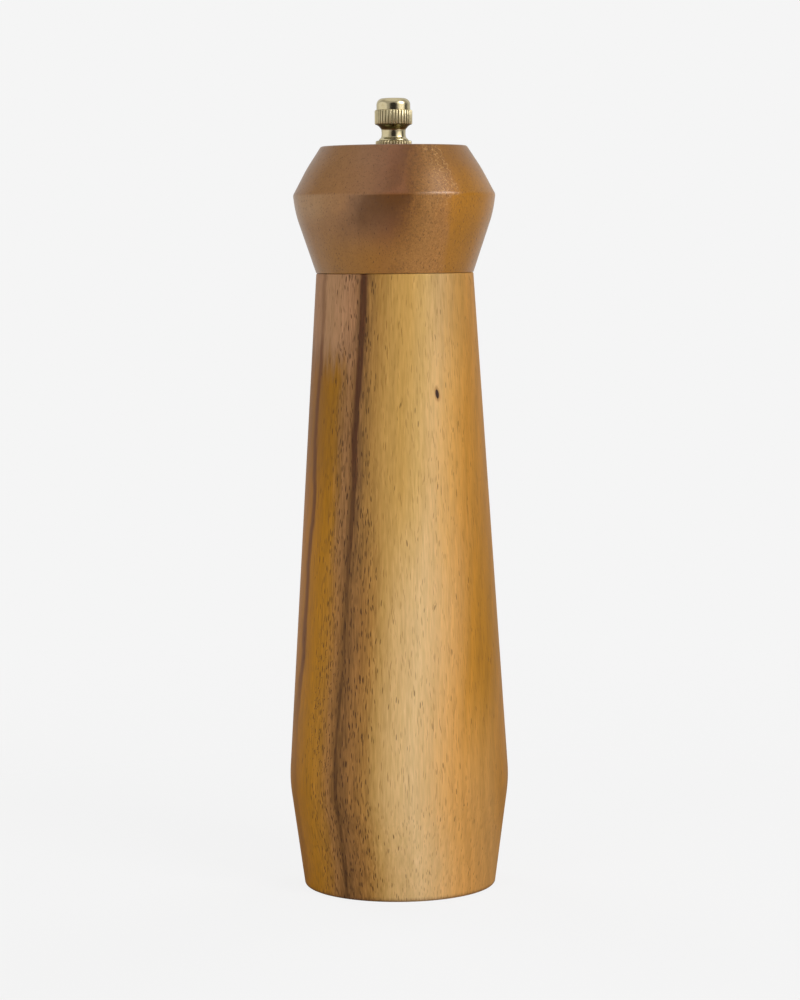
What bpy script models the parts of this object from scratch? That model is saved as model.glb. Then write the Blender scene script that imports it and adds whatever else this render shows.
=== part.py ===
"""A turned wooden pepper mill with an adjustable ceramic grinder, as separate pieces.

Units are metres and +Z is up. The origin is on the mill's axis, on the surface that it stands on.
The head turns the square shaft through the drive plate, and the shaft turns the ceramic rotor
inside the stator. The knurled nut on top draws the shaft up against the spring, for a finer grind.
"""

import math

import bmesh
import bpy
from mathutils import Matrix, Vector

# Where two pieces touch on the real mill, the model leaves this gap between them.
GAP = 0.0003

# Outside shape of the two wooden pieces and the nut.
TOTAL_HEIGHT = 0.2540
HEAD_TOP = 0.2387
SEAM = 0.1983
BASE_RADIUS = 0.0309
HIP_RADIUS = 0.03556
HIP_HEIGHT = 0.0345
SEAM_RADIUS = 0.0252
RIDGE_RADIUS = 0.0324
RIDGE_HEIGHT = 0.2232
HEAD_TOP_RADIUS = 0.0233

# Holes turned and drilled in the wood.
CHAMBER_RADIUS = 0.0145
RECESS_RADIUS = 0.0205
RECESS_DEPTH = 0.0120
SHAFT_HOLE_RADIUS = 0.0041
TENON_RADIUS = 0.0140
TENON_LENGTH = 0.0125

# Square shaft with a threaded end.
SHAFT_SIDE = 0.0050
SHAFT_BOTTOM = 0.0090
SQUARE_TOP = 0.2300
SHAFT_TOP = 0.2482
THREAD_RADIUS = 0.0024
SQUARE_HOLE_SIDE = SHAFT_SIDE + 2 * GAP

# Knurled nut, from the head's top upwards.
NUT_BOTTOM = HEAD_TOP + GAP
NUT_TIP_RADIUS = 0.0060
NUT_ROOT_RADIUS = 0.00562
NUT_DOME_RADIUS = 0.0055
NUT_NECK_RADIUS = 0.0039
NUT_TEETH = 36

# Grinder, from the recess upwards. The rotor's cone is coarse at the top and fine at the bottom.
FLANGE_RADIUS = 0.0200
FLANGE_THICKNESS = 0.0025
FLANGE_BOTTOM = RECESS_DEPTH - GAP - FLANGE_THICKNESS
BARREL_RADIUS = CHAMBER_RADIUS - GAP
BARREL_BORE = 0.0126
STATOR_RADIUS = 0.0124
STATOR_BOTTOM = 0.0109
STATOR_TOP = 0.0191
ROTOR_BOTTOM = 0.0086
ROTOR_TOP = 0.0220
FINE_TEETH = 36
FINE_TOP = 0.0132
FINE_SLOPE = 0.2
FINE_TOOTH = 0.00035
ROTOR_FINE_RADIUS = 0.0111
GRIND_GAP = 0.00045
FLUTES = 7
FLUTE_DEPTH = 0.0013
CARRIER_RADIUS = 0.0054
BRIDGE_BOTTOM = 0.0368
BRIDGE_TOP = 0.0410
HUB_BORE = 0.0050
SPOKE_COUNT = 3

# Spring between the rotor and the bridge.
WASHER_THICKNESS = 0.0008
WASHER_RADIUS = 0.0068
SPRING_WIRE_RADIUS = 0.00045
SPRING_RADIUS = 0.0053
SPRING_BOTTOM = ROTOR_TOP + 2 * GAP + WASHER_THICKNESS
SPRING_TOP = BRIDGE_BOTTOM - 2 * GAP - WASHER_THICKNESS
ACTIVE_COILS = 4.5
CLOSED_COILS = 1.0

# Drive plate under the head's tenon.
TENON_BOTTOM = SEAM - TENON_LENGTH
PLATE_RADIUS = 0.0115
PLATE_THICKNESS = 0.0012
PLATE_BOTTOM = TENON_BOTTOM - GAP - PLATE_THICKNESS
PLATE_SCREW_COUNT = 2
PLATE_SCREW_CIRCLE = 0.0082
PLATE_SCREW_SHANK = 0.0011

# Screws that hold the grinder's flange in the recess.
FLANGE_SCREW_COUNT = 3
FLANGE_SCREW_CIRCLE = 0.0172
FLANGE_SCREW_SHANK = 0.0012
FLANGE_SCREW_LENGTH = 0.0130

TURN_SEGMENTS = 48
SMALL_SEGMENTS = 32
ARC_STEP = math.radians(12)
SMALL_ARC = 0.0012
SHARP_ANGLE = math.radians(30)

MATERIALS = {
    # name: (red, green, blue), roughness, metallic
    "head_wood": ((0.26, 0.12, 0.04), 0.38, 0.0),
    "body_wood": ((0.47, 0.28, 0.11), 0.42, 0.0),
    "brass": ((0.74, 0.60, 0.32), 0.18, 1.0),
    "aluminium": ((0.80, 0.80, 0.81), 0.35, 1.0),
    "steel": ((0.62, 0.62, 0.63), 0.30, 1.0),
    "spring_steel": ((0.48, 0.48, 0.50), 0.28, 1.0),
    "ceramic": ((0.86, 0.85, 0.81), 0.45, 0.0),
    "black_nylon": ((0.025, 0.025, 0.028), 0.50, 0.0),
}


def clear_scene():
    for obj in list(bpy.data.objects):
        bpy.data.objects.remove(obj)


def new_collection(name):
    collection = bpy.data.collections.new(name)
    bpy.context.scene.collection.children.link(collection)
    return collection


def new_material(name):
    color, roughness, metallic = MATERIALS[name]
    material = bpy.data.materials.new(name)
    material.use_nodes = True
    shader = material.node_tree.nodes["Principled BSDF"]
    shader.inputs["Base Color"].default_value = (*color, 1.0)
    shader.inputs["Roughness"].default_value = roughness
    shader.inputs["Metallic"].default_value = metallic
    material.diffuse_color = (*color, 1.0)
    return material


clear_scene()
PARTS = new_collection("pepper_mill")
CUTTERS = new_collection("cutters")
FINISH = {name: new_material(name) for name in MATERIALS}


# ---------------------------------------------------------------- shapes


def add_object(name, data, material=None):
    """Puts an object in the mill's collection, or in the cutters' when it has no material."""
    obj = bpy.data.objects.new(name, data)
    if material:
        data.materials.append(FINISH[material])
        PARTS.objects.link(obj)
    else:
        CUTTERS.objects.link(obj)
        obj.hide_render = True
        obj.display_type = "WIRE"
    return obj


def from_bmesh(name, shape, material=None):
    mesh = bpy.data.meshes.new(name)
    shape.to_mesh(mesh)
    shape.free()
    return add_object(name, mesh, material)


def corner_arc(before, corner, after, radius):
    """Points of the arc that rounds one corner of an outline and is tangent to both of its sides."""
    to_before = (before - corner).normalized()
    to_after = (after - corner).normalized()
    half = to_before.angle(to_after) / 2
    bisector = (to_before + to_after).normalized()
    center = corner + bisector * radius / math.sin(half)
    start = corner + to_before * radius / math.tan(half) - center
    turn = math.pi - 2 * half
    if to_before.x * to_after.y - to_before.y * to_after.x > 0:
        turn = -turn
    steps = 2 if radius <= SMALL_ARC else max(2, math.ceil(abs(turn) / ARC_STEP))
    return [center + Matrix.Rotation(turn * i / steps, 2) @ start for i in range(steps + 1)]


def rounded(corners, closed):
    """An outline's points. A corner is (radius, height) or (radius, height, radius of its rounding)."""
    places = [Vector(c[:2]) for c in corners]
    points = []
    for i, corner in enumerate(corners):
        at_end = not closed and i in (0, len(corners) - 1)
        if len(corner) < 3 or at_end:
            points.append(places[i])
            continue
        after = places[(i + 1) % len(places)]
        points += corner_arc(places[i - 1], places[i], after, corner[2])
    return points


def turned(name, corners, material=None, closed=True, segments=TURN_SEGMENTS):
    """A shape turned on the Z axis. Its outline runs down the outer side."""
    points = rounded(corners, closed)
    edges = [(i, i + 1) for i in range(len(points) - 1)]
    if closed:
        edges.append((len(points) - 1, 0))
    mesh = bpy.data.meshes.new(name)
    mesh.from_pydata([(p.x, 0, p.y) for p in points], edges, [])
    obj = add_object(name, mesh, material)
    screw = obj.modifiers.new("Turn", "SCREW")
    screw.steps = segments
    screw.render_steps = segments
    screw.use_merge_vertices = True
    screw.merge_threshold = 1e-6
    return obj


def cylinder(name, radius, bottom, top, center=(0, 0), segments=SMALL_SEGMENTS, material=None):
    shape = bmesh.new()
    middle = Matrix.Translation((*center, (bottom + top) / 2))
    bmesh.ops.create_cone(
        shape,
        cap_ends=True,
        segments=segments,
        radius1=radius,
        radius2=radius,
        depth=top - bottom,
        matrix=middle,
    )
    return from_bmesh(name, shape, material)


def block(name, size, center, turn=0.0, material=None):
    """A box that is turned about its own vertical axis."""
    shape = bmesh.new()
    place = Matrix.Translation(center) @ Matrix.Rotation(turn, 4, "Z") @ Matrix.Diagonal((*size, 1))
    bmesh.ops.create_cube(shape, size=1, matrix=place)
    return from_bmesh(name, shape, material)


def toothed_cone(name, teeth, bottom, top, bottom_radius, top_radius, depth, twist=0.0):
    """A cone with V teeth. The radii are the tips', and the teeth lean by twist from bottom to top."""
    shape = bmesh.new()
    bmesh.ops.create_cone(
        shape,
        cap_ends=True,
        segments=2 * teeth,
        radius1=bottom_radius,
        radius2=top_radius,
        depth=top - bottom,
        matrix=Matrix.Translation((0, 0, (bottom + top) / 2)),
    )
    middle = (bottom + top) / 2
    for vertex in shape.verts:
        tooth = round(math.atan2(vertex.co.y, vertex.co.x) / (math.pi / teeth))
        reach = vertex.co.xy.length
        if tooth % 2:
            vertex.co.xy *= (reach - depth) / reach
        if vertex.co.z > middle:
            vertex.co = Matrix.Rotation(twist, 3, "Z") @ vertex.co
    return from_bmesh(name, shape)


def boolean(obj, operation, other):
    modifier = obj.modifiers.new(other.name, "BOOLEAN")
    modifier.operation = operation
    modifier.object = other


def cut(obj, *others):
    for other in others:
        boolean(obj, "DIFFERENCE", other)


def join(obj, *others):
    for other in others:
        boolean(obj, "UNION", other)


def round_the_rim(obj, width, segments=1):
    bevel = obj.modifiers.new("Bevel", "BEVEL")
    bevel.width = width
    bevel.segments = segments
    bevel.limit_method = "ANGLE"
    bevel.angle_limit = SHARP_ANGLE


def on_circle(count, radius, start=0.0):
    """(angle, x, y) of evenly spaced places on a circle."""
    for i in range(count):
        angle = start + 2 * math.pi * i / count
        yield angle, radius * math.cos(angle), radius * math.sin(angle)


def set_shading():
    """Applies the modifiers of the mill's meshes, and shades their round faces smooth."""
    bpy.context.view_layer.update()
    graph = bpy.context.evaluated_depsgraph_get()
    solids = [obj for obj in PARTS.objects if obj.type == "MESH"]
    applied = {obj: bpy.data.meshes.new_from_object(obj.evaluated_get(graph)) for obj in solids}
    for obj, mesh in applied.items():
        obj.modifiers.clear()
        obj.data = mesh
        mesh.name = obj.name
        mesh.shade_smooth()
        mesh.set_sharp_from_angle(angle=SHARP_ANGLE)


# ---------------------------------------------------------------- wooden pieces


def mill_body():
    mouth_chamfer = 0.0008
    body = turned(
        "mill_body",
        [
            (CHAMBER_RADIUS + mouth_chamfer, SEAM),
            (SEAM_RADIUS, SEAM, 0.0004),
            (HIP_RADIUS, HIP_HEIGHT, 0.045),
            (BASE_RADIUS, 0, 0.0010),
            (RECESS_RADIUS, 0, 0.0006),
            (RECESS_RADIUS, RECESS_DEPTH),
            (CHAMBER_RADIUS, RECESS_DEPTH),
            (CHAMBER_RADIUS, SEAM - mouth_chamfer),
        ],
        "body_wood",
    )
    pilot_top = FLANGE_BOTTOM + FLANGE_SCREW_LENGTH + GAP
    for i, (_, x, y) in enumerate(on_circle(FLANGE_SCREW_COUNT, FLANGE_SCREW_CIRCLE), 1):
        bottom = RECESS_DEPTH - 0.001
        pilot = cylinder(f"pilot_{i}", FLANGE_SCREW_SHANK + GAP, bottom, pilot_top, (x, y), 16)
        cut(body, pilot)


def head_block():
    """The head is one piece with its tenon, which sits in the mouth of the body."""
    shoulder = SEAM + GAP
    head = turned(
        "head_block",
        [
            (SHAFT_HOLE_RADIUS, HEAD_TOP),
            (HEAD_TOP_RADIUS, HEAD_TOP, 0.0009),
            (0.02795, 0.2316, 0.05),
            (RIDGE_RADIUS, RIDGE_HEIGHT, 0.0030),
            (0.03160, 0.2174, 0.035),
            (SEAM_RADIUS, shoulder, 0.0004),
            (TENON_RADIUS, shoulder),
            (TENON_RADIUS, TENON_BOTTOM, 0.0008),
            (SHAFT_HOLE_RADIUS, TENON_BOTTOM),
        ],
        "head_wood",
    )
    pilot_radius = PLATE_SCREW_SHANK + GAP
    pilot_top = TENON_BOTTOM + 0.0085
    for i, (_, x, y) in enumerate(on_circle(PLATE_SCREW_COUNT, PLATE_SCREW_CIRCLE), 1):
        bottom = TENON_BOTTOM - 0.001
        cut(head, cylinder(f"head_pilot_{i}", pilot_radius, bottom, pilot_top, (x, y), 16))


# ---------------------------------------------------------------- nut, shaft and drive plate


def adjusting_nut():
    """One turned brass piece. Its band and its foot carry the same straight knurl."""
    foot_top = NUT_BOTTOM + 0.0014
    neck_bottom = NUT_BOTTOM + 0.0022
    neck_top = NUT_BOTTOM + 0.0051
    band_bottom = NUT_BOTTOM + 0.0068
    band_top = NUT_BOTTOM + 0.0114
    core_radius = NUT_ROOT_RADIUS - 0.0001
    nut = turned(
        "adjusting_nut",
        [
            (0, TOTAL_HEIGHT),
            (NUT_DOME_RADIUS, TOTAL_HEIGHT - 0.0002, 0.0017),
            (NUT_DOME_RADIUS, band_top - 0.0002),
            (core_radius, band_top - 0.0002),
            (core_radius, band_bottom),
            (NUT_NECK_RADIUS + 0.0013, band_bottom - 0.0001),
            (NUT_NECK_RADIUS, neck_top),
            (NUT_NECK_RADIUS, neck_bottom),
            (NUT_NECK_RADIUS + 0.0008, foot_top),
            (NUT_NECK_RADIUS + 0.0008, NUT_BOTTOM + 0.0001),
            (0, NUT_BOTTOM + 0.0001),
        ],
        "brass",
        closed=False,
        segments=SMALL_SEGMENTS,
    )
    depth = NUT_TIP_RADIUS - NUT_ROOT_RADIUS
    for name, low, high in (("band", band_bottom, band_top), ("foot", NUT_BOTTOM, foot_top)):
        radius = NUT_TIP_RADIUS
        join(nut, toothed_cone(f"nut_{name}", NUT_TEETH, low, high, radius, radius, depth))
    bore_top = SHAFT_TOP + 0.0020
    cut(nut, cylinder("nut_bore", THREAD_RADIUS + GAP, NUT_BOTTOM - 0.001, bore_top, segments=24))


def drive_shaft():
    """A square bar, turned down at the top for the thread and tapped at the bottom."""
    middle = (0, 0, (SHAFT_BOTTOM + SQUARE_TOP) / 2)
    length = SQUARE_TOP - SHAFT_BOTTOM
    shaft = block("drive_shaft", (SHAFT_SIDE, SHAFT_SIDE, length), middle, material="aluminium")
    round_the_rim(shaft, 0.0004)
    tip_chamfer = 0.0005
    stud = turned(
        "threaded_end",
        [
            (0, SHAFT_TOP),
            (THREAD_RADIUS - tip_chamfer, SHAFT_TOP),
            (THREAD_RADIUS, SHAFT_TOP - tip_chamfer),
            (THREAD_RADIUS, SQUARE_TOP - 0.003),
            (0, SQUARE_TOP - 0.003),
        ],
        closed=False,
        segments=24,
    )
    join(shaft, stud)
    cut(shaft, cylinder("tapped_hole", 0.0016, SHAFT_BOTTOM - 0.001, SHAFT_BOTTOM + 0.009, segments=16))


def square_hole(name, bottom, top):
    """A cutter for the square hole that slides on the shaft."""
    size = (SQUARE_HOLE_SIDE, SQUARE_HOLE_SIDE, top - bottom + 0.002)
    return block(name, size, (0, 0, (bottom + top) / 2))


def disc(name, radius, bottom, thickness, material):
    return cylinder(name, radius, bottom, bottom + thickness, material=material)


def drive_plate():
    plate = disc("drive_plate", PLATE_RADIUS, PLATE_BOTTOM, PLATE_THICKNESS, "steel")
    cut(plate, square_hole("plate_square", PLATE_BOTTOM, TENON_BOTTOM))
    for i, (_, x, y) in enumerate(on_circle(PLATE_SCREW_COUNT, PLATE_SCREW_CIRCLE), 1):
        radius = PLATE_SCREW_SHANK + GAP
        cut(plate, cylinder(f"plate_hole_{i}", radius, PLATE_BOTTOM - 0.001, TENON_BOTTOM, (x, y), 16))


def screw(name, place, head_top, shank_radius, length, head_radius, head_height, pointed=True):
    """A pan-head screw that points up, with a cross recess. head_top is where its head meets the work."""
    point = 3 * shank_radius if pointed else shank_radius / 2
    tip_radius = 0 if pointed else shank_radius / 2
    tip = head_top + length
    head_bottom = head_top - head_height
    outline = [
        (0, tip),
        (tip_radius, tip),
        (shank_radius, tip - point),
        (shank_radius, head_top),
        (head_radius, head_top),
        (head_radius, head_bottom, 0.7 * head_height),
        (0, head_bottom),
    ]
    if pointed:
        outline.pop(0)
    body = turned(name, outline, "steel", closed=False, segments=20)
    slot = (1.2 * head_radius, 0.26 * head_radius, head_height)
    depth = 0.55 * head_height
    for turn in (0, math.pi / 2):
        cut(body, block(f"{name}_slot", slot, (0, 0, head_bottom + depth - slot[2] / 2), turn))
    for obj in [body, *(m.object for m in body.modifiers if m.type == "BOOLEAN")]:
        obj.location = (*place, 0)
    return body


def drive_plate_screws():
    for i, (_, x, y) in enumerate(on_circle(PLATE_SCREW_COUNT, PLATE_SCREW_CIRCLE), 1):
        head_top = PLATE_BOTTOM - GAP
        screw(f"drive_plate_screw_{i}", (x, y), head_top, PLATE_SCREW_SHANK, 0.009, 0.0021, 0.0013)


# ---------------------------------------------------------------- grinder


def grinder_housing():
    """A flanged barrel with a three-armed bridge, whose hub guides the shaft."""
    seat_radius = STATOR_RADIUS + GAP
    seat_top = STATOR_TOP + GAP
    lip_radius = 0.0108
    funnel_top = 0.0232
    housing = turned(
        "grinder_housing",
        [
            (BARREL_BORE, BRIDGE_TOP),
            (BARREL_RADIUS, BRIDGE_TOP, 0.0003),
            (BARREL_RADIUS, FLANGE_BOTTOM + FLANGE_THICKNESS),
            (FLANGE_RADIUS, FLANGE_BOTTOM + FLANGE_THICKNESS, 0.0003),
            (FLANGE_RADIUS, FLANGE_BOTTOM, 0.0003),
            (seat_radius, FLANGE_BOTTOM),
            (seat_radius, seat_top),
            (lip_radius, seat_top),
            (BARREL_BORE, funnel_top),
        ],
        "black_nylon",
        segments=48,
    )
    spoke_height = BRIDGE_TOP - BRIDGE_BOTTOM
    spoke_middle = (BRIDGE_TOP + BRIDGE_BOTTOM) / 2
    hub_radius = HUB_BORE + 0.0019
    spoke_length = BARREL_BORE - hub_radius + 0.0014
    for i, (angle, x, y) in enumerate(on_circle(SPOKE_COUNT, (BARREL_BORE + hub_radius) / 2), 1):
        size = (spoke_length, 0.0026, spoke_height - 0.0004)
        join(housing, block(f"spoke_{i}", size, (x, y, spoke_middle), angle))
    hub = turned(
        "hub",
        [
            (HUB_BORE, BRIDGE_TOP),
            (hub_radius, BRIDGE_TOP),
            (hub_radius, BRIDGE_BOTTOM),
            (HUB_BORE, BRIDGE_BOTTOM),
        ],
        segments=32,
    )
    join(housing, hub)
    for i, (_, x, y) in enumerate(on_circle(FLANGE_SCREW_COUNT, FLANGE_SCREW_CIRCLE), 1):
        radius = FLANGE_SCREW_SHANK + GAP
        hole = cylinder(f"flange_hole_{i}", radius, FLANGE_BOTTOM - 0.001, RECESS_DEPTH, (x, y), 16)
        cut(housing, hole)
    for i, (angle, x, y) in enumerate(on_circle(SPOKE_COUNT, seat_radius, math.pi / 3), 1):
        height = seat_top - FLANGE_BOTTOM + 0.002
        size = (0.0016, 0.0026 + 2 * GAP, height)
        cut(housing, block(f"keyway_{i}", size, (x, y, seat_top - height / 2), angle))


def grinder_housing_screws():
    for i, (_, x, y) in enumerate(on_circle(FLANGE_SCREW_COUNT, FLANGE_SCREW_CIRCLE), 1):
        head_top = FLANGE_BOTTOM - GAP
        length = FLANGE_SCREW_LENGTH
        screw(f"housing_screw_{i}", (x, y), head_top, FLANGE_SCREW_SHANK, length, 0.0024, 0.0015)


def stator_tip_radius(height):
    """Radius of the stator's fine teeth at a height: the rotor's, and the gap that grinds."""
    return ROTOR_FINE_RADIUS - FINE_SLOPE * (height - ROTOR_BOTTOM) + GRIND_GAP


def stator_ring():
    """A ceramic ring with fine teeth below and coarse ones in its mouth, keyed to the housing."""
    bottom = STATOR_BOTTOM
    top = STATOR_TOP
    fine_top = 0.0148
    rim = 0.0003
    stator = turned(
        "stator_ring",
        [(0, top), (STATOR_RADIUS, top, rim), (STATOR_RADIUS, bottom, rim), (0, bottom)],
        "ceramic",
        closed=False,
        segments=48,
    )
    for i, (angle, x, y) in enumerate(on_circle(SPOKE_COUNT, STATOR_RADIUS - 0.0002, math.pi / 3), 1):
        height = top - bottom - 2 * rim
        key = block(f"stator_key_{i}", (0.0014, 0.0026, height), (x, y, (top + bottom) / 2), angle)
        join(stator, key)
    past = 0.0010
    fine_cut = toothed_cone(
        "stator_fine_cut",
        FINE_TEETH,
        bottom - past,
        fine_top,
        stator_tip_radius(bottom - past) + FINE_TOOTH,
        stator_tip_radius(fine_top) + FINE_TOOTH,
        FINE_TOOTH,
        math.radians(-8),
    )
    coarse_cut = toothed_cone(
        "stator_coarse_cut",
        2 * FLUTES,
        fine_top - past,
        top + past,
        stator_tip_radius(fine_top) - 0.0001,
        stator_tip_radius(fine_top) + 0.0006,
        0.0007,
        math.radians(-20),
    )
    cut(stator, fine_cut, coarse_cut)


def stator_retaining_ring():
    """Snaps into the housing under the stator."""
    bottom = FLANGE_BOTTOM + 0.0001
    top = STATOR_BOTTOM - GAP
    inner = ROTOR_FINE_RADIUS + 0.0002
    turned(
        "stator_retaining_ring",
        [(inner, top), (STATOR_RADIUS, top), (STATOR_RADIUS, bottom, 0.0003), (inner, bottom)],
        "black_nylon",
        segments=48,
    )


def rotor_burr():
    """The ceramic cone: steep flutes above draw the peppercorns down to the fine teeth below."""
    fine_top_radius = ROTOR_FINE_RADIUS - FINE_SLOPE * (FINE_TOP - ROTOR_BOTTOM)
    rotor = toothed_cone(
        "rotor_burr",
        FINE_TEETH,
        ROTOR_BOTTOM,
        FINE_TOP,
        ROTOR_FINE_RADIUS,
        fine_top_radius,
        FINE_TOOTH,
        math.radians(8),
    )
    CUTTERS.objects.unlink(rotor)
    PARTS.objects.link(rotor)
    rotor.hide_render = False
    rotor.display_type = "TEXTURED"
    rotor.data.materials.append(FINISH["ceramic"])
    flutes = toothed_cone(
        "rotor_flutes",
        FLUTES,
        FINE_TOP - 0.0006,
        ROTOR_TOP,
        fine_top_radius - FINE_TOOTH - 0.0001,
        0.0084,
        FLUTE_DEPTH,
        math.radians(35),
    )
    join(rotor, flutes)
    hex_hole = cylinder(
        "rotor_hex_hole", CARRIER_RADIUS + 1.2 * GAP, ROTOR_BOTTOM - 0.001, ROTOR_TOP + 0.001, segments=6
    )
    cut(rotor, hex_hole)


def rotor_carrier():
    """A hexagonal nylon core that drives the rotor from the square shaft."""
    carrier = cylinder(
        "rotor_carrier", CARRIER_RADIUS, ROTOR_BOTTOM, ROTOR_TOP, segments=6, material="black_nylon"
    )
    cut(carrier, square_hole("carrier_square", ROTOR_BOTTOM, ROTOR_TOP))


def rotor_washer_and_screw():
    """They hold the rotor on the shaft's lower end."""
    washer_bottom = ROTOR_BOTTOM - GAP - WASHER_THICKNESS
    washer = disc("rotor_washer", 0.0065, washer_bottom, WASHER_THICKNESS, "steel")
    cut(washer, cylinder("rotor_washer_hole", 0.0016, washer_bottom - 0.001, ROTOR_BOTTOM, segments=16))
    screw("rotor_screw", (0, 0), washer_bottom - GAP, 0.0013, 0.009, 0.0029, 0.0016, pointed=False)


def spring_washer():
    bottom = ROTOR_TOP + GAP
    washer = disc("spring_washer", WASHER_RADIUS, bottom, WASHER_THICKNESS, "steel")
    cut(washer, square_hole("spring_washer_square", bottom, bottom + WASHER_THICKNESS))


def shaft_bush():
    """Turns in the bridge's hub while the shaft slides through it. Its flange carries the spring."""
    flange_top = BRIDGE_BOTTOM - GAP
    flange_bottom = flange_top - WASHER_THICKNESS
    top = BRIDGE_TOP + 0.0005
    barrel = HUB_BORE - GAP
    bush = turned(
        "shaft_bush",
        [
            (0, top),
            (barrel, top, 0.0003),
            (barrel, flange_top),
            (WASHER_RADIUS, flange_top),
            (WASHER_RADIUS, flange_bottom),
            (0, flange_bottom),
        ],
        "black_nylon",
        closed=False,
        segments=SMALL_SEGMENTS,
    )
    cut(bush, square_hole("bush_square", flange_bottom, top))


def spring_height(turn, turns):
    """Height of the wire's centre after some turns. The end coils lie closed, a wire's width apart."""
    low = SPRING_BOTTOM + SPRING_WIRE_RADIUS
    high = SPRING_TOP - SPRING_WIRE_RADIUS
    closed_pitch = 2 * SPRING_WIRE_RADIUS + 0.0001
    if turn < CLOSED_COILS:
        return low + closed_pitch * turn
    if turn > turns - CLOSED_COILS:
        return high - closed_pitch * (turns - turn)
    start = low + closed_pitch * CLOSED_COILS
    end = high - closed_pitch * CLOSED_COILS
    return start + (end - start) * (turn - CLOSED_COILS) / ACTIVE_COILS


def grinder_spring():
    points_per_turn = 12
    turns = ACTIVE_COILS + 2 * CLOSED_COILS
    count = round(points_per_turn * turns) + 1
    curve = bpy.data.curves.new("grinder_spring", "CURVE")
    curve.dimensions = "3D"
    curve.bevel_depth = SPRING_WIRE_RADIUS
    curve.bevel_resolution = 2
    curve.use_fill_caps = True
    wire = curve.splines.new("POLY")
    wire.points.add(count - 1)
    for i, point in enumerate(wire.points):
        turn = turns * i / (count - 1)
        angle = 2 * math.pi * turn
        x = SPRING_RADIUS * math.cos(angle)
        y = SPRING_RADIUS * math.sin(angle)
        point.co = (x, y, spring_height(turn, turns), 1)
    add_object("grinder_spring", curve, "spring_steel")


mill_body()
head_block()
adjusting_nut()
drive_shaft()
drive_plate()
drive_plate_screws()
grinder_housing()
grinder_housing_screws()
stator_ring()
stator_retaining_ring()
rotor_burr()
rotor_carrier()
rotor_washer_and_screw()
spring_washer()
shaft_bush()
grinder_spring()
set_shading()
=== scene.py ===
"""The looks of a turned wooden pepper mill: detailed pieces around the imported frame, studio and camera.

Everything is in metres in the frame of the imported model: the mill stands on Z = 0 and its axis is +Z.
Procedural materials work in millimetres, on coordinates that turn and lift with their piece.
"""

import math

import bmesh
import bpy
from mathutils import Matrix, Vector

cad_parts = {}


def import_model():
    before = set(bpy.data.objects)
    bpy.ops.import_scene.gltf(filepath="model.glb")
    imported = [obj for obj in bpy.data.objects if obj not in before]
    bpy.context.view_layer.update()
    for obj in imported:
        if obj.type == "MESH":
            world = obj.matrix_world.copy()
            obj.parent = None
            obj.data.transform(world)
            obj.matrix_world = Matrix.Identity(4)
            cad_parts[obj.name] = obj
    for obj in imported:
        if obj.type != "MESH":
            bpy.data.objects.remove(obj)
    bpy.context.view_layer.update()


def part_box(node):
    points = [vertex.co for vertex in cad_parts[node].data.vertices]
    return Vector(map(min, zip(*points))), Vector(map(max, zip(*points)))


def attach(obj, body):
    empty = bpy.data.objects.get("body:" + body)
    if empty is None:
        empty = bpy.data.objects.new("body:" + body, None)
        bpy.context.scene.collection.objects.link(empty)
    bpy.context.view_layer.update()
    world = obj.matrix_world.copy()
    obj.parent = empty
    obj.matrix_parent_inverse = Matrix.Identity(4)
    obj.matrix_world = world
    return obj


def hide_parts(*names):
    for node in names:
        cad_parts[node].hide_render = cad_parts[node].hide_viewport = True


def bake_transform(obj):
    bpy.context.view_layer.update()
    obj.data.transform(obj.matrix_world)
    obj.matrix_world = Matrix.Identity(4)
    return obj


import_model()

# ---- sizes

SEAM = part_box("mill_body")[1].z
HEAD_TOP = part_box("head_block")[1].z
TENON_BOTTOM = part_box("head_block")[0].z
NUT_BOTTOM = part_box("adjusting_nut")[0].z
NUT_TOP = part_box("adjusting_nut")[1].z
SHAFT_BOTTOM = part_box("drive_shaft")[0].z
SHAFT_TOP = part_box("drive_shaft")[1].z

BASE_RADIUS = 0.0309
HIP_RADIUS = 0.03556
HIP_HEIGHT = 0.0345
SEAM_RADIUS = 0.0252
RIDGE_RADIUS = 0.0324
RIDGE_HEIGHT = 0.2232
HEAD_TOP_RADIUS = 0.0233
CHAMBER_RADIUS = 0.0145
RECESS_RADIUS = 0.0205
RECESS_DEPTH = 0.012
SHAFT_HOLE_RADIUS = 0.0041
TENON_RADIUS = 0.014
GAP = 0.0003

# The square holes round the shaft, as half of their width, and the circles that the screws stand on.
SQUARE_HOLE = 0.0028
PLATE_SCREW_CIRCLE = 0.0082
HOUSING_SCREW_CIRCLE = 0.0172

# Screws: radius of the shank, length under the head, radius and height of the head.
PLATE_SCREW = (0.0011, 0.009, 0.0021, 0.0013)
HOUSING_SCREW = (0.0012, 0.013, 0.0024, 0.0015)
ROTOR_SCREW = (0.0013, 0.009, 0.0029, 0.0016)

SHARP = math.radians(32)


# ---- mesh helpers


def corner_arc(before, corner, after, radius, step):
    """Points of the arc that rounds one corner of an outline."""
    to_before = (before - corner).normalized()
    to_after = (after - corner).normalized()
    half = to_before.angle(to_after) / 2
    center = corner + (to_before + to_after).normalized() * radius / math.sin(half)
    start = corner + to_before * radius / math.tan(half) - center
    turn = math.pi - 2 * half
    if to_before.x * to_after.y - to_before.y * to_after.x > 0:
        turn = -turn
    steps = max(3, math.ceil(abs(turn) / step))
    return [center + Matrix.Rotation(turn * i / steps, 2) @ start for i in range(steps + 1)]


def rounded(corners, closed=True, step=math.radians(6)):
    """An outline's points. A corner is (radius, height) or (radius, height, radius of its rounding)."""
    places = [Vector(c[:2]) for c in corners]
    points = []
    for i, corner in enumerate(corners):
        if len(corner) < 3 or (not closed and i in (0, len(corners) - 1)):
            points.append(places[i])
            continue
        points += corner_arc(places[i - 1], places[i], places[(i + 1) % len(places)], corner[2], step)
    return points


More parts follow.
